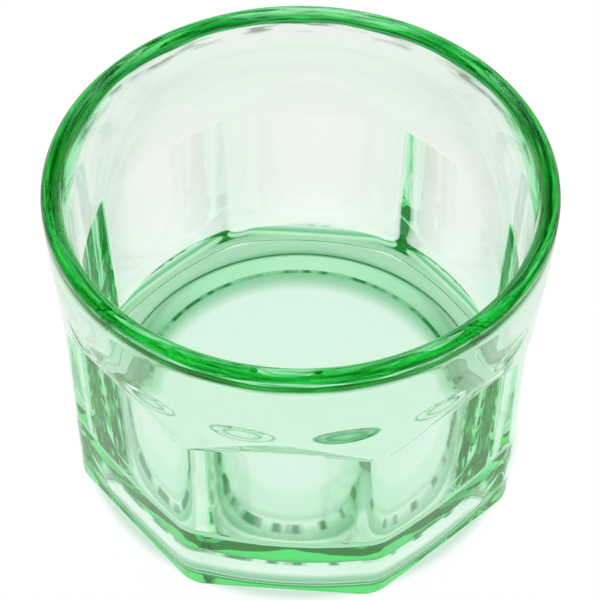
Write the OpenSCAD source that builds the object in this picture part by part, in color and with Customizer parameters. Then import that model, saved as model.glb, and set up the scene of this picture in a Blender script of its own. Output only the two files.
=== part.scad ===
// Juice glass: a low pressed tumbler with a round rim and an octagonal body.
// Millimetres. +Z is up, the origin is the centre of the ring it stands on,
// and one flat panel faces -Y.

/* [Overall] */

// Outer radius of the rim
rim_radius = 39.5; // [36:0.5:43]
// Height from the standing ring to the top of the lip
glass_height = 60; // [56:0.5:70]
// Radius of the rounded lip, half of the wall at the rim
lip_radius = 1.85; // [1.6:0.05:2]

/* [Body] */

// Number of flat panels around the body
panel_count = 8; // [6:1:10]
// How far the body's corner strips lie inside the rim
corner_inset = 0.7; // [0.4:0.1:1.2]
// How deep each flat panel is pressed into the round body
panel_depth = 2.5; // [2.2:0.1:2.8]
// Height of the panels' straight top edge
panel_top = 38; // [35:0.5:40]
// Radius of the rounded heel around the base
heel_radius = 1.6; // [0.8:0.1:2]

/* [Shoulder and band] */

// Height over which the surface above each panel leans out to the band
shoulder_height = 10.7; // [8:0.1:12]
// How far past the rim's radius that surface would end
shoulder_clearance = 0.1; // [0.1:0.1:0.4]
// How far above the panels the round band starts to lean out
band_rise = 4; // [3:0.5:6]

/* [Cavity] */

// How far the cavity steps in under the lip
mouth_step = 0.3; // [0.1:0.1:0.8]
// Wall between each flat panel and the cavity at the floor
low_wall = 2.1; // [1.8:0.1:2.6]
// Height of the cavity floor above the table
floor_height = 10.2; // [7:0.1:12]
// Radius of the rounded corner around the floor
floor_fillet = 2.8; // [0.5:0.1:4]
// Height over which the lip blends into the inner wall
throat_height = 5; // [3:0.5:6]

/* [Underside] */

// Flat width of the standing ring under each panel
ring_width = 1.5; // [1:0.1:2.5]
// Width of the sloping side of the recess inside the ring
slope_width = 5.5; // [4:0.1:8]
// Depth of the recess at its flat middle
recess_depth = 2.9; // [2:0.1:4]

/* [Show] */

// Which node to draw

/* [Hidden] */

$fn = 96;

// What every cutting shape runs past the glass by
overrun = 2;
// Flat steps that stand in for each leaning side's curve
bend_steps = 6;

glass_colour = [0.55, 0.86, 0.62, 0.5];
panel_turn = 360 / panel_count;
corner_radius = rim_radius - corner_inset;
flat_apothem = corner_radius - panel_depth;
shoulder_reach = rim_radius + shoulder_clearance - flat_apothem;
shoulder_top = panel_top + shoulder_height;
band_low_height = panel_top + band_rise;
lip_centre_radius = rim_radius - lip_radius;
lip_centre_height = glass_height - lip_radius;
mouth_radius = rim_radius - 2 * lip_radius;
throat_low = lip_centre_height - throat_height;
cavity_top_radius = mouth_radius - mouth_step;
cavity_low_radius = flat_apothem - low_wall;
recess_radius = flat_apothem - heel_radius - ring_width;
cutter_reach = rim_radius + overrun;

// Points of a side that leans out from low and grows steeper until it is upright
function leaning_points(side, low, reach, height) = [
    for (i = [0 : bend_steps])
        [side + reach * (1 - pow(1 - i / bend_steps, 2)), low + height * i / bend_steps]
];

// Half section with an upright side on a rounded heel
module heel_section(side, top) {
    translate([side - heel_radius, heel_radius]) circle(r = heel_radius);
    square([side - heel_radius, heel_radius]);
    translate([0, heel_radius]) square([side, top - heel_radius]);
}

// Half section between the axis and such a side
module leaning_section(side, low, reach, height) {
    polygon(concat(
        [[0, low]],
        leaning_points(side, low, reach, height),
        [[0, low + height]]
    ));
}

// Half section of the outside as a round shape, to be turned about the axis
module outside_section() {
    heel_section(corner_radius, band_low_height);
    leaning_section(corner_radius, band_low_height, corner_inset, lip_centre_height - band_low_height);
    translate([lip_centre_radius, lip_centre_height]) circle(r = lip_radius);
}

// Section of what one panel's cut leaves: heel, flat and leaning shoulder
module panel_section() {
    heel_section(flat_apothem, panel_top);
    leaning_section(flat_apothem, panel_top, shoulder_reach, shoulder_height);
}

// Half section of the hollow that takes the drink
module cavity_section() {
    floor_corner_radius = cavity_low_radius - floor_fillet;
    floor_corner_height = floor_height + floor_fillet;
    translate([floor_corner_radius, floor_corner_height]) circle(r = floor_fillet);
    translate([0, floor_height]) square([floor_corner_radius, floor_fillet]);
    polygon([
        [0, floor_corner_height],
        [cavity_low_radius, floor_corner_height],
        [cavity_top_radius, throat_low],
        [mouth_radius, lip_centre_height],
        [0, lip_centre_height]
    ]);
}

// Half section of the recess in the underside, with a sloping side and a flat middle
module recess_section() {
    translate([0, -overrun]) square([recess_radius, overrun]);
    polygon([
        [0, 0],
        [recess_radius, 0],
        [recess_radius - slope_width, recess_depth],
        [0, recess_depth]
    ]);
}

// Cutting block for the panel that faces +X
module panel_cutter() {
    rotate([90, 0, 0])
        linear_extrude(height = rim_radius, center = true)
            difference() {
                translate([0, -overrun]) square([cutter_reach, shoulder_top + overrun]);
                panel_section();
            }
}

// The whole glass, pressed in one piece
module tumbler() {
    color(glass_colour)
        difference() {
            rotate_extrude() outside_section();
            for (i = [0 : panel_count - 1]) rotate([0, 0, i * panel_turn]) panel_cutter();
            rotate_extrude() cavity_section();
            translate([0, 0, lip_centre_height]) cylinder(r = mouth_radius, h = lip_radius + overrun);
            rotate_extrude() recess_section();
        }
}

tumbler();
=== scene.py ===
"""Juice glass: a low tumbler of green pressed glass on a white studio table."""
import logging
import math
from collections import Counter
from dataclasses import dataclass, field
from enum import Enum
from functools import partial
from typing import Any

import bpy
from mathutils import Matrix, Vector


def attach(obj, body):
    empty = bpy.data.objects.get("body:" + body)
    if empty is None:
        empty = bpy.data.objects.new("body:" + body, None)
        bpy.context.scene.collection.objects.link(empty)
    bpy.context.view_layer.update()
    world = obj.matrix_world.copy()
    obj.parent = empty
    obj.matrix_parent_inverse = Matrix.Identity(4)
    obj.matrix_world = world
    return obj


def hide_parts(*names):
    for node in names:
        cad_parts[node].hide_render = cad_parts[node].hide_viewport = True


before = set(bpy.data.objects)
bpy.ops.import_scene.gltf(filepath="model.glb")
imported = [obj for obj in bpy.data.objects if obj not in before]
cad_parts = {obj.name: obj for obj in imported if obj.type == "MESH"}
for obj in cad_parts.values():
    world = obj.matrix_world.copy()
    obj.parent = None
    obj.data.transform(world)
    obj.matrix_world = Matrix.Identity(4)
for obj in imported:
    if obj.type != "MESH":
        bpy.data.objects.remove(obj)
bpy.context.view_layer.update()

MM = 0.001
RIM_RADIUS_MM = 39.5
HEIGHT_MM = 60.0
LIP_RADIUS_MM = 1.5
PANELS = 8
# Distance, in millimetres, to flats that are too far out to cut a round row
NO_FLATS_MM = 1000.0
IMAGE_SIZE = 600
SENSOR_MM = 36.0
LIGHT_BOUNCES = 24
WHITE = (1.0, 1.0, 1.0, 1.0)
LOG = logging.getLogger("juice_glass")

# Node types that are used many times
MATH = "ShaderNodeMath"
VECTOR = "ShaderNodeVectorMath"
SPLIT = "ShaderNodeSeparateXYZ"
RANGE = "ShaderNodeMapRange"
NOISE = "ShaderNodeTexNoise"
MIX = "ShaderNodeMix"
BUMP = "ShaderNodeBump"


def linear(hex_colour: str, alpha: float = 1.0) -> tuple[float, float, float, float]:
    """Turn an sRGB hex colour into linear values.

    Args:
        hex_colour: Six hex digits, with or without a leading hash.
        alpha: The fourth value.

    Returns:
        Linear red, green and blue, and alpha.
    """
    digits = hex_colour.lstrip("#")
    channels = []
    for start in (0, 2, 4):
        value = int(digits[start:start + 2], 16) / 255
        channels.append(value / 12.92 if value <= 0.04045 else ((value + 0.055) / 1.055) ** 2.4)
    return (channels[0], channels[1], channels[2], alpha)


def add_node(tree: bpy.types.NodeTree, kind: str, inputs: dict[Any, Any] | None = None,
             **settings: Any) -> bpy.types.Node:
    """Add a node with its settings, input values and incoming links.

    Args:
        tree: The node tree that gets the node.
        kind: The node's type name.
        inputs: Input name or number to a value, to an output socket to link, or to
            a node whose first output in use is linked.
        settings: The node's own properties.

    Returns:
        The new node.
    """
    node = tree.nodes.new(kind)
    for name, value in settings.items():
        setattr(node, name, value)
    for key, value in (inputs or {}).items():
        if isinstance(value, bpy.types.Node):
            value = next(socket for socket in value.outputs if socket.enabled)
        if isinstance(value, bpy.types.NodeSocket):
            tree.links.new(value, node.inputs[key])
        else:
            node.inputs[key].default_value = value
    return node


class Skin(Enum):
    """Which part of the section a point lies on."""

    UNDERSIDE = "underside"
    FOOT = "foot"
    SIDE = "side"
    LIP = "lip"
    CAVITY = "cavity"


@dataclass(frozen=True)
class SectionPoint:
    """One point of the turned section, in millimetres.

    Attributes:
        skin: The part of the section it lies on.
        radius: Distance from the axis as a round shape.
        height: Height above the table.
        apothem: Distance from the axis to the flats at this height.
        start: Radius from which the flats' share is counted.
        share: 0 for a round row at start, 1 for the full panelled outline.
    """

    skin: Skin
    radius: float
    height: float
    apothem: float = NO_FLATS_MM
    start: float = 0.0
    share: float = 1.0


@dataclass(frozen=True)
class SectionSteps:
    """How many steps each stretch of the section is drawn with."""

    recess_flat: int = 9
    crease: int = 8
    recess_slope: int = 6
    ring_edge: int = 12
    ring_flat: int = 4
    heel: int = 12
    panel: int = 12
    panel_edge: int = 26
    shoulder: int = 30
    band: int = 16
    lip: int = 22
    wall: int = 40
    floor_corner: int = 16
    floor_flat: int = 9


@dataclass(frozen=True)
class ColourBands:
    """Colours that follow a measured value, such as a radius in millimetres.

    Attributes:
        low: The value at the start of the scale.
        high: The value at its end.
        stops: Values with their sRGB hex colours, in rising order.
    """

    low: float
    high: float
    stops: tuple[tuple[float, str], ...]

    def over(self, tree: bpy.types.NodeTree, value: bpy.types.Node) -> bpy.types.Node:
        """Colour a measured value.

        Args:
            tree: The node tree that gets the nodes.
            value: The node that gives the value.

        Returns:
            The node that gives the colour.
        """
        share = add_node(tree, RANGE, {"Value": value, "From Min": self.low, "From Max": self.high})
        ramp = add_node(tree, "ShaderNodeValToRGB", {0: share})
        elements = ramp.color_ramp.elements
        for number, (spot, colour) in enumerate(self.stops):
            place = (spot - self.low) / (self.high - self.low)
            stop = elements[number] if number < len(elements) else elements.new(place)
            stop.position, stop.color = place, linear(colour)
        return ramp


@dataclass(frozen=True)
class Spots:
    """Where a shaded point lies on the glass, read from its Object coordinates.

    Attributes:
        tree: The material's node tree.
        place: The point itself, in metres.
        height: Height above the table.
        radius: Distance from the axis.
        away: Unit direction from the axis, level with the table.
        sideways: 0 at the front and the back, 1 at the sides.
        azimuth: Angle round the axis from the front.
        entering: 1 where a ray goes into the glass through its outside.
    """

    tree: bpy.types.NodeTree
    place: bpy.types.NodeSocket
    height: bpy.types.NodeSocket
    radius: bpy.types.Node
    away: bpy.types.Node
    sideways: bpy.types.Node
    azimuth: bpy.types.Node
    entering: bpy.types.Node

    @classmethod
    def read(cls, tree: bpy.types.NodeTree, outside_mm: float) -> "Spots":
        """Add the nodes that measure a point.

        Args:
            tree: The material's node tree.
            outside_mm: Radius past which a point is on the outside of the glass.

        Returns:
            The measures.
        """
        node = partial(add_node, tree)
        place = node("ShaderNodeTexCoord").outputs["Object"]
        height = node(SPLIT, {0: place}).outputs["Z"]
        level = node(VECTOR, {0: place, 1: (1.0, 1.0, 0.0)}, operation="MULTIPLY")
        radius = node(VECTOR, {0: level}, operation="LENGTH")
        away = node(VECTOR, {0: level}, operation="NORMALIZE")
        side = node(SPLIT, {0: away}).outputs["X"]
        flat = node(SPLIT, {0: level}).outputs
        front = node(MATH, {0: flat["Y"], 1: -1.0}, operation="MULTIPLY")
        front_face = node(MATH, {0: 1.0, 1: node("ShaderNodeNewGeometry").outputs["Backfacing"]},
                          operation="SUBTRACT")
        outside = node(MATH, {0: radius, 1: outside_mm * MM}, operation="GREATER_THAN")
        return cls(tree, place, height, radius, away,
                   sideways=node(MATH, {0: side, 1: side}, operation="MULTIPLY"),
                   azimuth=node(MATH, {0: flat["X"], 1: front}, operation="ARCTAN2"),
                   entering=node(MATH, {0: front_face, 1: outside}, operation="MULTIPLY"))

    def turns(self, count: int, turn_deg: float) -> bpy.types.Node:
        """Count equal places round the glass.

        Args:
            count: Number of places in a full turn.
            turn_deg: Azimuth of the first place's middle.

        Returns:
            The node whose value has the place's number as its whole part.
        """
        node = partial(add_node, self.tree)
        turned = node(MATH, {0: self.azimuth, 1: math.radians(turn_deg)}, operation="SUBTRACT")
        share = node(MATH, {0: turned, 1: count / math.tau}, operation="MULTIPLY")
        return node(MATH, {0: share, 1: 0.5}, operation="ADD")

    def across(self, count: int, turn_deg: float, radius_mm: float) -> bpy.types.Node:
        """Measure along the outside from the middle of the nearest of equal places.

        Args:
            count: Number of places in a full turn.
            turn_deg: Azimuth of the first place's middle.
            radius_mm: Radius at which the distance is measured.

        Returns:
            The node that gives the distance in metres.
        """
        node = partial(add_node, self.tree)
        part = node(MATH, {0: self.turns(count, turn_deg)}, operation="FRACT")
        part = node(MATH, {0: part, 1: 0.5}, operation="SUBTRACT")
        return node(MATH, {0: part, 1: math.tau / count * radius_mm * MM}, operation="MULTIPLY")

    def in_mm(self, measure: bpy.types.Node | bpy.types.NodeSocket) -> bpy.types.Node:
        """Turn a measure from metres to millimetres."""
        return add_node(self.tree, MATH, {0: measure, 1: MM}, operation="DIVIDE")


@dataclass(frozen=True)
class LipLightBands:
    """Painted light and shade: light and dark bands that run round the fire-polished lip.

    A rounded lip gathers light that has run far inside the glass, so the eye sees
    it as streaks from pale to bottle green. The bands follow the angle round the
    lip in degrees: -90 is outermost, 0 the top and 90 innermost.
    """

    centre_mm: tuple[float, float] = (RIM_RADIUS_MM - LIP_RADIUS_MM, HEIGHT_MM - LIP_RADIUS_MM)
    radius_mm: float = LIP_RADIUS_MM
    front: ColourBands = ColourBands(-180.0, 180.0, (
        (-149, "#ffffff"), (-143, "#70c884"), (-136, "#20a040"), (-127, "#005c04"),
        (-114, "#008306"), (-100, "#003000"), (-92, "#006010"), (-86, "#c0fccc"), (-74, "#b0ecc0"),
        (-66, "#108030"), (-48, "#48e062"), (-36, "#10b828"), (-24, "#38dc50"), (-12, "#90f8a0"),
        (2, "#e8fff0"), (30, "#80f098"), (56, "#20c040"), (74, "#005c0c"), (88, "#10a030"),
        (97, "#005008"), (106, "#ffffff")))
    # Darker bands at the sides, painted shade for the light's longer path through the glass there
    side: ColourBands = ColourBands(-180.0, 180.0, (
        (-149, "#ffffff"), (-140, "#209040"), (-127, "#006404"), (-110, "#004800"),
        (-92, "#008008"), (-60, "#004c00"), (-32, "#20a838"), (-16, "#68dc80"), (-6, "#008c10"),
        (6, "#001c00"), (26, "#005800"), (52, "#007404"), (70, "#003c00"), (86, "#006c00"),
        (97, "#005408"), (106, "#20a048"), (116, "#a0e4b0"), (126, "#ffffff")))
    waver_deg: float = 20.0
    waver_scale: float = 3.0
    streak_mm: float = 0.5
    streak_scale: float = 5.0
    streak_depth_mm: float = 0.02
    streak_spread: tuple[float, float] = (0.36, 0.64)
    streak_tone: tuple[float, float] = (0.2, 1.6)
    noise_detail: float = 2.0
    reach_mm: float = 1.2
    inner_side_reach_mm: float = 0.6
    inner_from_mm: float = 0.5
    fade_mm: float = 1.0
    shine: str = "#59e77c"

    def angle(self, spots: Spots) -> bpy.types.Node:
        """Measure the angle round the lip.

        Args:
            spots: The point's measures.

        Returns:
            The node that gives the angle in radians.
        """
        node = partial(add_node, spots.tree)
        out = node(MATH, {0: spots.radius, 1: self.centre_mm[0] * MM}, operation="SUBTRACT")
        up = node(MATH, {0: spots.height, 1: self.centre_mm[1] * MM}, operation="SUBTRACT")
        inwards = node(MATH, {0: out, 1: -1.0}, operation="MULTIPLY")
        return node(MATH, {0: inwards, 1: up}, operation="ARCTAN2")

    def share(self, spots: Spots) -> bpy.types.Node:
        """Find the lip's painted light and shade, which reach lower inside at the glass's sides.

        Args:
            spots: The point's measures.

        Returns:
            The node that gives 1 on the lip and 0 below it.
        """
        node = partial(add_node, spots.tree)
        inner = node(MATH, {0: spots.radius, 1: (self.centre_mm[0] - self.inner_from_mm) * MM},
                     operation="LESS_THAN")
        inner = node(MATH, {0: inner, 1: spots.sideways}, operation="MULTIPLY")
        extra = node(MATH, {0: inner, 1: self.inner_side_reach_mm}, operation="MULTIPLY")
        reach = node(MATH, {0: extra, 1: self.reach_mm}, operation="ADD")
        reach = node(MATH, {0: reach, 1: MM}, operation="MULTIPLY")
        raised = node(MATH, {0: spots.height, 1: reach}, operation="ADD")
        return node(RANGE, {
            "Value": raised, "From Min": (self.centre_mm[1] - self.fade_mm) * MM,
            "From Max": self.centre_mm[1] * MM})

    def streaks(self, spots: Spots, angle: bpy.types.Node) -> bpy.types.Node:
        """Draw fire-polishing streaks along the lip, used as bumps and as painted light and shade.

        Args:
            spots: The point's measures.
            angle: The angle round the lip.

        Returns:
            The node that gives the streaks.
        """
        node = partial(add_node, spots.tree)
        along = node(MATH, {0: angle, 1: self.radius_mm / self.streak_mm}, operation="MULTIPLY")
        rise = node("ShaderNodeCombineXYZ", {"Z": along})
        narrow = node(VECTOR, {0: spots.away, "Scale": self.streak_scale}, operation="SCALE")
        where = node(VECTOR, {0: narrow, 1: rise}, operation="ADD")
        return node(NOISE, {"Vector": where, "Scale": 1.0, "Detail": self.noise_detail})

    def tint(self, spots: Spots, angle: bpy.types.Node, streaks: bpy.types.Node) -> bpy.types.Node:
        """Paint light and shade on the lip as bands that waver round the glass, darker at the sides.

        Args:
            spots: The point's measures.
            angle: The angle round the lip.
            streaks: The fine streaks.

        Returns:
            The node that gives the lip's colour.
        """
        node = partial(add_node, spots.tree)
        wide = node(VECTOR, {0: spots.away, "Scale": self.waver_scale}, operation="SCALE")
        waver = node(NOISE, {"Vector": wide, "Scale": 1.0, "Detail": self.noise_detail})
        waver = node(MATH, {0: waver, 1: 0.5}, operation="SUBTRACT")
        waver = node(MATH, {0: waver, 1: math.radians(self.waver_deg) * 2}, operation="MULTIPLY")
        turn = node(MATH, {0: angle, 1: waver}, operation="ADD")
        turn = node(MATH, {0: turn}, operation="DEGREES")
        bands = node(MIX, data_type="RGBA", inputs={
            "Factor": spots.sideways, 6: self.front.over(spots.tree, turn),
            7: self.side.over(spots.tree, turn)})
        # The streaks also lighten and darken the bands, as painted light and shade
        tone = node(RANGE, {
            "Value": streaks, "From Min": self.streak_spread[0],
            "From Max": self.streak_spread[1], "To Min": self.streak_tone[0],
            "To Max": self.streak_tone[1]})
        return node(MIX, {"Factor": 1.0, 6: bands, 7: tone}, data_type="RGBA",
                    blend_type="MULTIPLY")


@dataclass(frozen=True)
class FloorRingShade:
    """Painted shade: a greener, darker ring round the cavity's floor.

    Light reaches it from the thick corner of the base, so it looks greener than
    the floor's middle. The bands follow the radius in millimetres.
    """

    levels_mm: tuple[float, float] = (9.0, 10.4)
    reach_mm: float = 33.0
    bands: ColourBands = ColourBands(23.4, 30.2, (
        (23.4, "#ffffff"), (24.6, "#dcf7e4"), (27.6, "#d2f3dc"), (28.6, "#a0d0b0"),
        (29.4, "#e4f6e8"), (30.2, "#ffffff")))

    def tint(self, spots: Spots, below: bpy.types.Node) -> bpy.types.Node:
        """Lay the painted shade on the floor.

        Args:
            spots: The point's measures.
            below: The colour that it is laid over.

        Returns:
            The node that gives the colour.
        """
        node = partial(add_node, spots.tree)
        over = node(MATH, {0: spots.height, 1: self.levels_mm[0] * MM}, operation="GREATER_THAN")
        under = node(MATH, {0: spots.height, 1: self.levels_mm[1] * MM}, operation="LESS_THAN")
        within = node(MATH, {0: spots.radius, 1: self.reach_mm * MM}, operation="LESS_THAN")
        level = node(MATH, {0: over, 1: under}, operation="MULTIPLY")
        on_floor = node(MATH, {0: level, 1: within}, operation="MULTIPLY")
        ring_shade = self.bands.over(spots.tree, spots.in_mm(spots.radius))
        return node(MIX, {"Factor": on_floor, 6: below, 7: ring_shade}, data_type="RGBA",
                    blend_type="MULTIPLY")


@dataclass(frozen=True)
class PaintedBeadDashes:
    """Broken bead round the crease of the underside, seen through the floor.

    It is only painted: dashes of dark green shade and near-white glints.
    """

    radius_mm: float = 27.8
    half_width_mm: float = 1.0
    top_mm: float = 3.2
    scale: float = 9.0
    detail: float = 1.0
    spread: tuple[float, float] = (0.42, 0.58)
    dark: str = "#08642c"
    pale: str = "#f0fff2"

    def tint(self, spots: Spots, below: bpy.types.Node) -> bpy.types.Node:
        """Lay the painted dashes of shade and glints on the underside.

        Args:
            spots: The point's measures.
            below: The colour that they are laid over.

        Returns:
            The node that gives the colour.
        """
        node = partial(add_node, spots.tree)
        half = self.half_width_mm * MM
        off = node(MATH, {0: spots.radius, 1: self.radius_mm * MM}, operation="SUBTRACT")
        off = node(MATH, {0: off}, operation="ABSOLUTE")
        near = node(RANGE, interpolation_type="SMOOTHSTEP", inputs={
            "Value": off, "From Min": half / 2, "From Max": half, "To Min": 1.0, "To Max": 0.0})
        low = node(MATH, {0: spots.height, 1: self.top_mm * MM}, operation="LESS_THAN")
        on_bead = node(MATH, {0: near, 1: low}, operation="MULTIPLY")
        around = node(VECTOR, {0: spots.away, "Scale": self.scale}, operation="SCALE")
        dashes = node(NOISE, {"Vector": around, "Scale": 1.0, "Detail": self.detail})
        share = node(RANGE, {
            "Value": dashes, "From Min": self.spread[0], "From Max": self.spread[1]})
        colour = node(MIX, {"Factor": share, 6: linear(self.dark), 7: linear(self.pale)},
                      data_type="RGBA")
        return node(MIX, {"Factor": on_bead, 6: below, 7: colour}, data_type="RGBA")


@dataclass(frozen=True)
class ShoulderHollows:
    """Shallow oval hollows that the mould leaves round the band over the panels.

    They show from outside only, as bumps with rings of painted shade and highlight,
    darker and paler green, and every fifth one is painted dark. The rings follow
    the share of a hollow's half width.
    """

    count: int = 16
    turn_deg: float = 14.25
    half_width_mm: float = 5.2
    half_height_mm: float = 1.9
    height_mm: float = 45.6
    radius_mm: float = 38.9
    depth_mm: float = 0.3
    sunk_from: float = 0.5
    dark_each: float = 5.0
    shade_rings: ColourBands = ColourBands(0.0, 1.0, (
        (0.0, "#ffffff"), (0.35, "#e4f8e8"), (0.52, "#58b478"), (0.62, "#e8fbec"),
        (0.8, "#f4fff6"), (0.9, "#4caa6c"), (1.0, "#ffffff")))
    dark_shade_rings: ColourBands = ColourBands(0.0, 1.0, (
        (0.0, "#7cc898"), (0.35, "#3c9c60"), (0.55, "#147838"), (0.7, "#60b884"),
        (0.82, "#2c8c50"), (0.94, "#3c9c60"), (1.0, "#ffffff")))

    def span(self, spots: Spots) -> bpy.types.Node:
        """Measure from the middle of the nearest hollow, as a share of its size.

        Args:
            spots: The point's measures.

        Returns:
            The node that gives 0 in the middle and 1 at the hollow's edge.
        """
        node = partial(add_node, spots.tree)
        aside = node(MATH, {0: spots.across(self.count, self.turn_deg, self.radius_mm),
                            1: self.half_width_mm * MM}, operation="DIVIDE")
        above = node(MATH, {0: spots.height, 1: self.height_mm * MM}, operation="SUBTRACT")
        above = node(MATH, {0: above, 1: self.half_height_mm * MM}, operation="DIVIDE")
        aside_square = node(MATH, {0: aside, 1: aside}, operation="MULTIPLY")
        above_square = node(MATH, {0: above, 1: above}, operation="MULTIPLY")
        total = node(MATH, {0: aside_square, 1: above_square}, operation="ADD")
        return node(MATH, {0: total}, operation="SQRT")

    def tint(self, spots: Spots, span: bpy.types.Node, below: bpy.types.Node) -> bpy.types.Node:
        """Lay the rings of painted shade and highlight on the outside.

        Args:
            spots: The point's measures.
            span: The share from a hollow's middle to its edge.
            below: The colour that they are laid over.

        Returns:
            The node that gives the colour.
        """
        node = partial(add_node, spots.tree)
        number = node(MATH, {0: spots.turns(self.count, self.turn_deg)}, operation="FLOOR")
        order = node(MATH, {0: number, 1: self.dark_each}, operation="FLOORED_MODULO")
        is_dark = node(MATH, {0: order, 1: 0.5}, operation="LESS_THAN")
        shade_rings = node(MIX, data_type="RGBA", inputs={
            "Factor": is_dark, 6: self.shade_rings.over(spots.tree, span),
            7: self.dark_shade_rings.over(spots.tree, span)})
        return node(MIX, {"Factor": spots.entering, 6: below, 7: shade_rings}, data_type="RGBA",
                    blend_type="MULTIPLY")

    def dent(self, spots: Spots, span: bpy.types.Node) -> bpy.types.Node:
        """Bend the light as the hollows' sloping edges do.

        Args:
            spots: The point's measures.
            span: The share from a hollow's middle to its edge.

        Returns:
            The node that gives the bent surface.
        """
        node = partial(add_node, spots.tree)
        level = node(RANGE, {"Value": span, "From Min": self.sunk_from, "From Max": 1.0},
                     interpolation_type="SMOOTHSTEP")
        return node(BUMP, {"Height": level, "Strength": spots.entering,
                           "Distance": self.depth_mm * MM})


@dataclass(frozen=True)
class PanelEdgeShade:
    """Painted shade: a thin green line along the straight top edge of each panel.

    The edge bends light into the thick glass, so it reads as a fine dark line.
    The bands follow the height in millimetres.
    """

    panels: int = PANELS
    strip_half_mm: float = 1.35
    radius_mm: float = 38.9
    bands: ColourBands = ColourBands(37.5, 38.9, (
        (37.5, "#ffffff"), (37.85, "#8cc8a4"), (38.05, "#8cc8a4"), (38.3, "#ffffff"),
        (38.9, "#ffffff")))

    def tint(self, spots: Spots, below: bpy.types.Node) -> bpy.types.Node:
        """Lay the painted line on the panels, with the corner strips left clear.

        Args:
            spots: The point's measures.
            below: The colour that it is laid over.

        Returns:
            The node that gives the colour.
        """
        node = partial(add_node, spots.tree)
        corner = spots.across(self.panels, 180 / self.panels, self.radius_mm)
        aside = spots.in_mm(node(MATH, {0: corner}, operation="ABSOLUTE"))
        clear = node(MATH, {0: aside, 1: self.strip_half_mm}, operation="GREATER_THAN")
        on_panel = node(MATH, {0: spots.entering, 1: clear}, operation="MULTIPLY")
        shade_line = self.bands.over(spots.tree, spots.in_mm(spots.height))
        return node(MIX, {"Factor": on_panel, 6: below, 7: shade_line}, data_type="RGBA",
                    blend_type="MULTIPLY")


@dataclass(frozen=True)
class PressedGlass:
    """Green soda-lime glass, pressed in a mould and fire-polished.

    It reads as nearly clear through a thin wall and deep green along its edges,
    because the tint grows with the length of the light's path in the glass. The
    faint ripple is what the mould leaves on its flats.
    """

    name: str = "green_soda_lime_glass"
    tint: str = "#6cf3aa"
    density_per_m: float = 37.0
    ior: float = 1.52
    outside_mm: float = 36.9
    ripple_mm: float = 9.0
    ripple_depth_mm: float = 0.05
    ripple_detail: float = 1.0
    lip: LipLightBands = LipLightBands()
    floor: FloorRingShade = FloorRingShade()
    bead: PaintedBeadDashes = PaintedBeadDashes()
    hollows: ShoulderHollows = ShoulderHollows()
    panel_edge: PanelEdgeShade = PanelEdgeShade()

    def material(self) -> bpy.types.Material:
        """Build the glass: tint in the volume, bumps and painted light and shade on the surface.

        Returns:
            The material.
        """
        material = bpy.data.materials.new(self.name)
        material.use_nodes = True
        tree = material.node_tree
        tree.nodes.clear()
        node = partial(add_node, tree)
        spots = Spots.read(tree, self.outside_mm)
        angle = self.lip.angle(spots)
        streaks = self.lip.streaks(spots, angle)
        on_lip = self.lip.share(spots)
        span = self.hollows.span(spots)
        # Painted light and shade in the base colour: the lip's bands, the floor's ring, the bead's
        # dashes, the hollows' rings and the panels' edge line
        colour = node(MIX, data_type="RGBA", inputs={
            "Factor": on_lip, 6: WHITE, 7: self.lip.tint(spots, angle, streaks)})
        colour = self.floor.tint(spots, colour)
        colour = self.bead.tint(spots, colour)
        colour = self.hollows.tint(spots, span, colour)
        colour = self.panel_edge.tint(spots, colour)
        ripple = node(NOISE, {"Vector": spots.place, "Scale": 1 / (self.ripple_mm * MM),
                              "Detail": self.ripple_detail})
        rippled = node(BUMP, {
            "Height": ripple, "Strength": 1.0, "Distance": self.ripple_depth_mm * MM,
            "Normal": self.hollows.dent(spots, span)})
        surface = node(BUMP, {
            "Height": streaks, "Strength": on_lip,
            "Distance": self.lip.streak_depth_mm * MM, "Normal": rippled})
        shine = node(MIX, {"Factor": on_lip, 6: WHITE, 7: linear(self.lip.shine)},
                     data_type="RGBA")
        glass = node("ShaderNodeBsdfPrincipled", {
            "Base Color": colour, "Specular Tint": shine, "Roughness": 0.0, "IOR": self.ior,
            "Transmission Weight": 1.0, "Normal": surface})
        absorb = node("ShaderNodeVolumeAbsorption", {
            "Color": linear(self.tint), "Density": self.density_per_m})
        node("ShaderNodeOutputMaterial", {"Surface": glass, "Volume": absorb})
        return material


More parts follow.
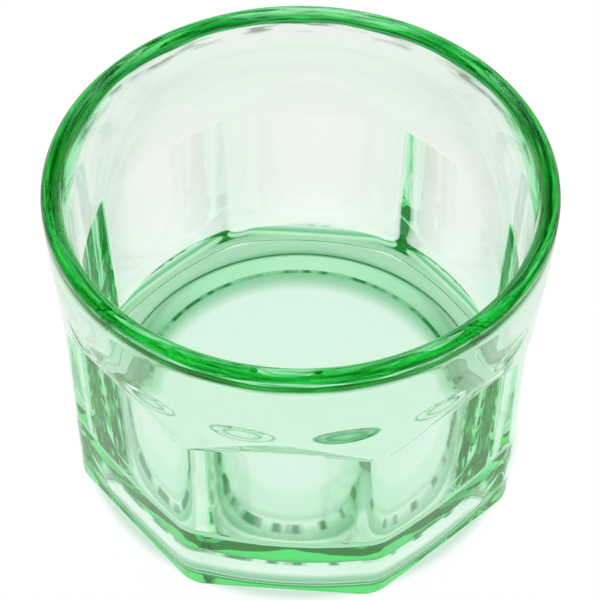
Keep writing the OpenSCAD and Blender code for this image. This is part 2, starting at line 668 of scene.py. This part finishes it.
@dataclass
class Tumbler:
    """The glass itself, turned from one section with flats around its body.

    Sizes are in millimetres and follow the CAD node of the same name.
    """

    height: float = HEIGHT_MM
    lip_radius: float = LIP_RADIUS_MM
    panels: int = PANELS
    corner_radius: float = 38.8
    apothem: float = 36.3
    panel_top: float = 38.0
    heel_radius: float = 0.6
    shoulder_height: float = 10.7
    shoulder_slopes: tuple[tuple[float, float], ...] = (
        (0.0, 0.55), (1.2, 0.5), (2.0, 0.4), (6.0, 0.36), (10.7, 0.0))
    slope_above: float = 0.05
    band_line: tuple[tuple[float, float], ...] = (
        (42.0, 38.8), (49.0, 39.3), (56.0, RIM_RADIUS_MM))
    cavity_top_radius: float = 35.5
    cavity_low_radius: float = 34.2
    floor_height: float = 10.2
    floor_fillet: float = 2.8
    throat_height: float = 5.0
    recess_radius: float = 33.2
    cone_width: float = 5.5
    recess_depth: float = 2.9
    crease_curve: float = 1.0
    edge_curve: float = 5.0
    soft_edge: float = 0.4
    edge_samples: int = 9
    soft_band: float = 1.2
    band_samples: int = 13
    corner_soft: float = 0.6
    weld: float = 0.002
    near_edge: float = 2.0
    steps: SectionSteps = SectionSteps()
    stations: int = 352
    crowding: float = 0.55
    finish: PressedGlass = field(default_factory=PressedGlass)

    def round_radius(self, height: float) -> float:
        """Work out the radius of the body and band as a round shape, with soft bends.

        Args:
            height: Height above the table.

        Returns:
            The radius.
        """
        heights = [0.0] + [row[0] for row in self.band_line]
        radii = [self.corner_radius] + [row[1] for row in self.band_line]
        total, count = 0.0, self.band_samples
        for step in range(count):
            level = height + self.soft_band * (2 * step / (count - 1) - 1)
            if level <= heights[1]:
                total += self.corner_radius
            elif level >= heights[-1]:
                total += radii[-1]
            else:
                place = next(i for i in range(1, len(heights)) if level <= heights[i])
                part = (level - heights[place - 1]) / (heights[place] - heights[place - 1])
                total += radii[place - 1] + part * (radii[place] - radii[place - 1])
        return total / count

    def shoulder_lean(self, rise: float) -> float:
        """Work out how far the surface leans out over a panel.

        Args:
            rise: Height above the panel's top edge.

        Returns:
            Distance from the panel's plane.
        """
        lean = 0.0
        for (low, slope), (high, next_slope) in zip(self.shoulder_slopes, self.shoulder_slopes[1:]):
            part = min(max(rise - low, 0.0), high - low)
            lean += part * (slope + (next_slope - slope) * part / (high - low) / 2)
        return lean + self.slope_above * max(0.0, rise - self.shoulder_height)

    def panel_distance(self, height: float) -> float:
        """Work out where the flats are, which lean out above their top edge.

        Args:
            height: Height above the table.

        Returns:
            Distance from the axis.
        """
        count = self.edge_samples
        rises = [height - self.panel_top + self.soft_edge * (2 * step / (count - 1) - 1)
                 for step in range(count)]
        return self.apothem + sum(self.shoulder_lean(rise) for rise in rises) / count

    def section(self) -> list[SectionPoint]:
        """List the section's points, from the underside's centre to the cavity's.

        Returns:
            The points in order.
        """
        steps = self.steps
        slope = math.atan(self.recess_depth / self.cone_width)
        edge = self.recess_radius - self.cone_width
        bend = self.crease_curve * math.tan(slope / 2)
        points = [SectionPoint(Skin.UNDERSIDE, 0.0, self.recess_depth)]
        for step in range(1, steps.recess_flat + 1):
            points.append(SectionPoint(
                Skin.UNDERSIDE, (edge - bend) * step / steps.recess_flat, self.recess_depth))
        for step in range(1, steps.crease + 1):
            turn = slope * step / steps.crease
            points.append(SectionPoint(
                Skin.UNDERSIDE, edge - bend + self.crease_curve * math.sin(turn),
                self.recess_depth - self.crease_curve * (1 - math.cos(turn))))
        edge += bend * math.cos(slope)
        drop = self.recess_depth - bend * math.sin(slope)
        reach = self.edge_curve * math.tan(slope / 2)
        sloping = self.recess_radius - edge - reach * math.cos(slope)
        for step in range(1, steps.recess_slope + 1):
            along = sloping * step / steps.recess_slope
            points.append(SectionPoint(
                Skin.UNDERSIDE, edge + along, drop - along * math.tan(slope)))
        for step in range(1, steps.ring_edge + 1):
            turn = slope * (1 - step / steps.ring_edge)
            points.append(SectionPoint(
                Skin.UNDERSIDE, self.recess_radius + reach - self.edge_curve * math.sin(turn),
                self.edge_curve * (1 - math.cos(turn))))
        points += self.foot_points(self.recess_radius + reach)
        lip_height = self.height - self.lip_radius
        points += self.side_points(lip_height)
        edge = self.round_radius(lip_height)
        for step in range(1, steps.lip + 1):
            turn = math.pi * step / steps.lip
            points.append(SectionPoint(
                Skin.LIP, edge - self.lip_radius + self.lip_radius * math.cos(turn),
                lip_height + self.lip_radius * math.sin(turn)))
        points += self.cavity_points(edge - 2 * self.lip_radius, lip_height)
        return points

    def foot_points(self, ring_radius: float) -> list[SectionPoint]:
        """List the points of the standing ring and the rounded heel.

        Args:
            ring_radius: Inner radius of the standing ring's flat.

        Returns:
            The points in order.
        """
        heel, steps = self.heel_radius, self.steps
        points = []
        for step in range(1, steps.ring_flat + 1):
            points.append(SectionPoint(
                Skin.FOOT, self.corner_radius - heel, 0.0, self.apothem - heel,
                ring_radius, step / steps.ring_flat))
        for step in range(1, steps.heel + 1):
            turn = math.pi / 2 * step / steps.heel
            inset = heel * (1 - math.sin(turn))
            points.append(SectionPoint(
                Skin.FOOT, self.corner_radius - inset, heel - heel * math.cos(turn),
                self.apothem - inset))
        return points

    def side_points(self, lip_height: float) -> list[SectionPoint]:
        """List the points of the panels, the shoulder and the band.

        Args:
            lip_height: Height of the lip's lower edge.

        Returns:
            The points in order.
        """
        shoulder_top = self.panel_top + self.shoulder_height
        stretches = (
            (self.heel_radius, self.panel_top - self.near_edge, self.steps.panel),
            (self.panel_top - self.near_edge, self.panel_top + self.near_edge,
             self.steps.panel_edge),
            (self.panel_top + self.near_edge, shoulder_top, self.steps.shoulder),
            (shoulder_top, lip_height, self.steps.band))
        points = []
        for low, high, count in stretches:
            for step in range(1, count + 1):
                level = low + (high - low) * step / count
                points.append(SectionPoint(
                    Skin.SIDE, self.round_radius(level), level, self.panel_distance(level)))
        return points

    def cavity_points(self, mouth: float, lip_height: float) -> list[SectionPoint]:
        """List the cavity's points, from the lip down to the floor's centre.

        Args:
            mouth: Inner radius at the lip's lower edge.
            lip_height: Height of the lip's lower edge.

        Returns:
            The points in order.
        """
        points, steps = [], self.steps
        low = self.floor_height + self.floor_fillet
        for step in range(1, steps.wall + 1):
            level = lip_height + (low - lip_height) * step / steps.wall
            below = lip_height - level
            if below < self.throat_height:
                ease = math.sin(math.pi / 2 * below / self.throat_height)
                radius = mouth + (self.cavity_top_radius - mouth) * ease
            else:
                part = (below - self.throat_height) / (lip_height - low - self.throat_height)
                radius = self.cavity_top_radius + part * (
                    self.cavity_low_radius - self.cavity_top_radius)
            points.append(SectionPoint(Skin.CAVITY, radius, level))
        for step in range(1, steps.floor_corner + 1):
            turn = math.pi / 2 * step / steps.floor_corner
            points.append(SectionPoint(
                Skin.CAVITY, self.cavity_low_radius - self.floor_fillet * (1 - math.cos(turn)),
                low - self.floor_fillet * math.sin(turn)))
        flat = self.cavity_low_radius - self.floor_fillet
        for step in range(steps.floor_flat - 1, -1, -1):
            points.append(SectionPoint(
                Skin.CAVITY, flat * step / steps.floor_flat, self.floor_height))
        return points

    def section_mesh(self) -> bpy.types.Mesh:
        """Make the section a line of points that carry their flats' distance and share.

        Returns:
            The mesh, in metres.
        """
        points = self.section()
        rows = Counter(point.skin for point in points)
        LOG.info("section rows: %s", ", ".join(f"{skin.value} {rows[skin]}" for skin in Skin))
        mesh = bpy.data.meshes.new("tumbler_section")
        mesh.from_pydata([(p.radius * MM, 0.0, p.height * MM) for p in points],
                         [(i, i + 1) for i in range(len(points) - 1)], [])
        for name, values in (("apothem", [p.apothem * MM for p in points]),
                             ("start", [p.start * MM for p in points]),
                             ("share", [p.share for p in points])):
            mesh.attributes.new(name, "FLOAT", "POINT").data.foreach_set("value", values)
        return mesh

    def sweep_tree(self, material: bpy.types.Material) -> bpy.types.NodeTree:
        """Build the tree that turns the section about the axis and presses the flats in.

        Args:
            material: The material set on the result.

        Returns:
            The geometry node tree, with its sizes as named inputs.
        """
        tree = bpy.data.node_groups.new("panelled_turning", "GeometryNodeTree")
        face = tree.interface
        face.new_socket("Section", in_out="INPUT", socket_type="NodeSocketGeometry")
        for name, kind, value in (("Panels", "NodeSocketInt", self.panels),
                                  ("Stations", "NodeSocketInt", self.stations),
                                  ("Corner softness", "NodeSocketFloat", self.corner_soft * MM),
                                  ("Crowding", "NodeSocketFloat", self.crowding)):
            face.new_socket(name, in_out="INPUT", socket_type=kind).default_value = value
        face.new_socket("Glass", in_out="OUTPUT", socket_type="NodeSocketGeometry")
        node = partial(add_node, tree)
        given = node("NodeGroupInput").outputs
        size = node("GeometryNodeAttributeDomainSize", {"Geometry": given["Section"]})
        rows = size.outputs["Point Count"]
        columns = node(MATH, {0: given["Stations"], 1: 1.0}, operation="ADD")
        grid = node("GeometryNodeMeshGrid", {
            "Size X": 1.0, "Size Y": 1.0, "Vertices X": columns, "Vertices Y": rows})
        index = node("GeometryNodeInputIndex")
        row = node(MATH, {0: index, 1: rows}, operation="FLOORED_MODULO")
        middle = node(MATH, {0: index, 1: 0.5}, operation="ADD")
        station = node(MATH, {0: middle, 1: rows}, operation="DIVIDE")
        station = node(MATH, {0: station}, operation="FLOOR")
        where = node("GeometryNodeInputPosition")
        spot = node("GeometryNodeSampleIndex", {
            "Geometry": given["Section"], "Value": where, "Index": row},
            data_type="FLOAT_VECTOR", domain="POINT")
        parts = node(SPLIT, {0: spot}).outputs
        # The flats' distance, the start radius and the share of this vertex's row
        carried = {}
        for name in ("apothem", "start", "share"):
            value = node("GeometryNodeInputNamedAttribute", {"Name": name}, data_type="FLOAT")
            carried[name] = node("GeometryNodeSampleIndex", {
                "Geometry": given["Section"], "Value": value.outputs[0], "Index": row},
                data_type="FLOAT", domain="POINT")
        # Stations crowd towards the corner strips, where the outline bends
        turns = node(MATH, {0: station, 1: given["Panels"]}, operation="MULTIPLY")
        turns = node(MATH, {0: turns, 1: given["Stations"]}, operation="DIVIDE")
        within = node(MATH, {0: turns, 1: 0.5}, operation="ADD")
        within = node(MATH, {0: within}, operation="FRACT")
        within = node(MATH, {0: within, 1: 0.5}, operation="SUBTRACT")
        wave = node(MATH, {0: within, 1: math.tau}, operation="MULTIPLY")
        wave = node(MATH, {0: wave}, operation="SINE")
        crowd = node(MATH, {0: given["Crowding"], 1: math.tau}, operation="DIVIDE")
        bunch = node(MATH, {0: wave, 1: crowd}, operation="MULTIPLY")
        pitch = node(MATH, {0: math.tau, 1: given["Panels"]}, operation="DIVIDE")
        off_flat = node(MATH, {0: within, 1: bunch}, operation="ADD")
        off_flat = node(MATH, {0: off_flat, 1: pitch}, operation="MULTIPLY")
        angle = node(MATH, {0: turns, 1: bunch}, operation="ADD")
        angle = node(MATH, {0: angle, 1: pitch}, operation="MULTIPLY")
        angle = node(MATH, {0: angle, 1: math.pi / 2}, operation="SUBTRACT")
        # The round outline is cut by the flats, softly at the corners
        flat = node(MATH, {0: carried["apothem"], 1: node(MATH, {0: off_flat}, operation="COSINE")},
                    operation="DIVIDE")
        outline = node(MATH, {0: parts["X"], 1: flat, 2: given["Corner softness"]},
                       operation="SMOOTH_MIN")
        past = node(MATH, {0: outline, 1: carried["start"]}, operation="SUBTRACT")
        past = node(MATH, {0: past, 1: carried["share"]}, operation="MULTIPLY")
        radius = node(MATH, {0: carried["start"], 1: past}, operation="ADD")
        east = node(MATH, {0: angle}, operation="COSINE")
        north = node(MATH, {0: angle}, operation="SINE")
        placed = node("ShaderNodeCombineXYZ", {
            "X": node(MATH, {0: radius, 1: east}, operation="MULTIPLY"),
            "Y": node(MATH, {0: radius, 1: north}, operation="MULTIPLY"), "Z": parts["Z"]})
        body = node("GeometryNodeSetPosition", {"Geometry": grid.outputs["Mesh"],
                                                "Position": placed})
        joined = node("GeometryNodeMergeByDistance", {"Geometry": body,
                                                      "Distance": self.weld * MM})
        smooth = node("GeometryNodeSetShadeSmooth", {"Geometry": joined})
        real = node("GeometryNodeRealizeInstances", {0: smooth})
        dressed = node("GeometryNodeSetMaterial", {0: real, "Material": material})
        node("NodeGroupOutput", {0: dressed})
        return tree

    def build(self) -> bpy.types.Object:
        """Turn the section into a closed glass and put it in place of its CAD node.

        Returns:
            The finished piece.
        """
        material = self.finish.material()
        source = bpy.data.objects.new("section_source", self.section_mesh())
        bpy.context.scene.collection.objects.link(source)
        tree = self.sweep_tree(material)
        modifier = source.modifiers.new("turning", "NODES")
        modifier.node_group = tree
        sizes = {"Panels": self.panels, "Stations": self.stations,
                 "Corner softness": self.corner_soft * MM, "Crowding": self.crowding}
        for item in tree.interface.items_tree:
            if item.in_out == "INPUT" and item.name in sizes:
                modifier[item.identifier] = sizes[item.name]
        graph = bpy.context.evaluated_depsgraph_get()
        mesh = bpy.data.meshes.new_from_object(source.evaluated_get(graph))
        source.modifiers.remove(modifier)
        bpy.data.objects.remove(source)
        mesh.name = "pressed_tumbler"
        for name in ("apothem", "start", "share"):
            if name in mesh.attributes:
                mesh.attributes.remove(mesh.attributes[name])
        piece = bpy.data.objects.new("pressed_tumbler", mesh)
        bpy.context.scene.collection.objects.link(piece)
        if self.enclosed(mesh) < 0:
            mesh.flip_normals()
        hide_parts("tumbler")
        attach(piece, "root")
        return piece

    @staticmethod
    def enclosed(mesh: bpy.types.Mesh) -> float:
        """Measure the volume inside the mesh.

        Args:
            mesh: A closed mesh.

        Returns:
            Cubic metres, negative where its faces point inwards.
        """
        mesh.calc_loop_triangles()
        total = 0.0
        for triangle in mesh.loop_triangles:
            first, second, third = (mesh.vertices[place].co for place in triangle.vertices)
            total += first.dot(second.cross(third))
        return total / 6


@dataclass
class StudioTable:
    """White table top that keeps the glass's shadow and shows as white through the glass.

    The shade's bands follow the distance from the glass's axis in millimetres. Light
    that the foot keeps from the table is green there.
    """

    half_width: float = 1.6
    below_mm: float = 0.1
    colour: str = "#8c8c8c"
    glow: float = 0.97
    far_mm: tuple[float, float] = (40.0, 60.0)
    far_tint: str = "#f7eff2"
    shade: ColourBands = ColourBands(0.0, 38.6, (
        (0.0, "#ffffff"), (25.5, "#ffffff"), (28.0, "#b8dcc4"), (29.8, "#94cca6"), (30.3, "#94cca6"),
        (31.8, "#f4fcf6"), (33.5, "#d0e4d6"), (37.0, "#d0e4d6"), (38.6, "#ffffff")))

    def build(self) -> bpy.types.Object:
        """Lay the table just under the glass.

        Returns:
            The table top.
        """
        reach = self.half_width
        mesh = bpy.data.meshes.new("table_top")
        mesh.from_pydata([(-reach, -reach, 0), (reach, -reach, 0), (reach, reach, 0),
                          (-reach, reach, 0)], [], [(0, 1, 2, 3)])
        mesh.transform(Matrix.Translation((0, 0, -self.below_mm * MM)))
        table = bpy.data.objects.new("table_top", mesh)
        bpy.context.scene.collection.objects.link(table)
        mesh.materials.append(self.material())
        return table

    def material(self) -> bpy.types.Material:
        """Matt white laminate, lifted towards white for the camera and through the glass.

        Returns:
            The material, which reads as plain white paper with a faint soft shadow.
        """
        material = bpy.data.materials.new("matt_white_laminate")
        material.use_nodes = True
        tree = material.node_tree
        tree.nodes.clear()
        node = partial(add_node, tree)
        ray = node("ShaderNodeLightPath").outputs
        seen = node(MATH, {0: ray["Is Camera Ray"], 1: ray["Is Glossy Ray"]}, operation="MAXIMUM")
        seen = node(MATH, {0: seen, 1: ray["Is Transmission Ray"]}, operation="MAXIMUM")
        strength = node(MATH, {0: seen, 1: self.glow}, operation="MULTIPLY")
        matt = node("ShaderNodeBsdfDiffuse", {"Color": linear(self.colour)})
        place = node("ShaderNodeTexCoord").outputs["Object"]
        radius = node(VECTOR, {0: place}, operation="LENGTH")
        shade = self.shade.over(tree, node(MATH, {0: radius, 1: MM}, operation="DIVIDE"))
        far = node(RANGE, interpolation_type="SMOOTHSTEP", inputs={
            "Value": radius, "From Min": self.far_mm[0] * MM, "From Max": self.far_mm[1] * MM})
        through = node(MATH, {0: 1.0, 1: ray["Is Camera Ray"]}, operation="SUBTRACT")
        share = node(MATH, {0: far, 1: through}, operation="MULTIPLY")
        ground = node(MIX, {"Factor": share, 6: shade, 7: linear(self.far_tint)},
                      data_type="RGBA")
        glow = node("ShaderNodeEmission", {"Color": ground, "Strength": strength})
        both = node("ShaderNodeAddShader", {0: matt, 1: glow})
        node("ShaderNodeOutputMaterial", {"Surface": both})
        return material


@dataclass
class Studio:
    """Soft light from a surround that is white behind the glass and dim green elsewhere.

    The dim part gives the glass the dark edges that tell it from its white ground.
    """

    dim_colour: str = "#4c8c60"
    dim_from: float = 0.2
    dim_full: float = 0.8
    back_from: float = 0.1
    back_full: float = 0.7

    def build(self) -> bpy.types.World:
        """Set the world.

        Returns:
            The world.
        """
        world = bpy.data.worlds.new("white_surround")
        bpy.context.scene.world = world
        world.use_nodes = True
        tree = world.node_tree
        tree.nodes.clear()
        node = partial(add_node, tree)
        way = node(SPLIT, {0: node("ShaderNodeTexCoord").outputs["Generated"]}).outputs
        low = node(RANGE, interpolation_type="SMOOTHSTEP", inputs={
            "Value": way["Z"], "From Min": self.dim_from, "From Max": self.dim_full,
            "To Min": 1.0, "To Max": 0.0})
        behind = node(RANGE, interpolation_type="SMOOTHSTEP", inputs={
            "Value": way["Y"], "From Min": self.back_from, "From Max": self.back_full})
        bright = node(MATH, {0: low, 1: behind}, operation="MULTIPLY")
        light = node(MIX, {"Factor": bright, 6: linear(self.dim_colour), 7: WHITE},
                     data_type="RGBA")
        seen = node("ShaderNodeLightPath").outputs["Is Camera Ray"]
        shown = node(MIX, {"Factor": seen, 6: light, 7: WHITE}, data_type="RGBA")
        back = node("ShaderNodeBackground", {"Color": shown, "Strength": 1.0})
        node("ShaderNodeOutputWorld", {"Surface": back})
        return world


@dataclass
class Viewpoint:
    """The photographer's camera, found from the rim's ellipse and the base's edges."""

    distance_mm: float = 316.0
    elevation: float = 49.85
    azimuth: float = 4.0
    aim_height_mm: float = 30.6
    focal_pixels: float = 1935.0
    roll: float = 0.36
    near_m: float = 0.01

    def build(self) -> bpy.types.Object:
        """Place the camera and make it the scene's.

        Returns:
            The camera.
        """
        rise, turn, roll = (math.radians(v) for v in (self.elevation, self.azimuth, self.roll))
        away = Vector((math.sin(turn) * math.cos(rise), -math.cos(turn) * math.cos(rise),
                       math.sin(rise)))
        spot = away * self.distance_mm * MM + Vector((0, 0, self.aim_height_mm * MM))
        right = (-away).cross(Vector((0, 0, 1))).normalized()
        up = right.cross(-away)
        level_right = right * math.cos(roll) + up * math.sin(roll)
        level_up = up * math.cos(roll) - right * math.sin(roll)
        data = bpy.data.cameras.new("studio_camera")
        data.sensor_width = SENSOR_MM
        data.lens = SENSOR_MM * self.focal_pixels / IMAGE_SIZE
        data.clip_start = self.near_m
        camera = bpy.data.objects.new("studio_camera", data)
        turned = Matrix((level_right, level_up, away)).transposed().to_4x4()
        camera.matrix_world = Matrix.Translation(spot) @ turned
        bpy.context.scene.collection.objects.link(camera)
        bpy.context.scene.camera = camera
        return camera


def main() -> None:
    """Build the camera, the glass, the table and the light, and report each."""
    logging.basicConfig(level=logging.INFO, format="%(name)s: %(message)s")
    scene = bpy.context.scene
    scene.view_settings.view_transform = "Standard"
    # Light that runs round inside the rim and the foot needs many bounces to get out again
    scene.cycles.max_bounces = LIGHT_BOUNCES
    scene.cycles.glossy_bounces = LIGHT_BOUNCES
    scene.cycles.transmission_bounces = LIGHT_BOUNCES
    camera = Viewpoint().build()
    LOG.info("camera lens %.1f mm", camera.data.lens)
    glass = Tumbler().build()
    LOG.info("%s: %d vertices, %d faces", glass.name, len(glass.data.vertices),
             len(glass.data.polygons))
    table = StudioTable().build()
    LOG.info("table %s", table.name)
    world = Studio().build()
    LOG.info("world %s", world.name)


if __name__ == "__main__":
    main()
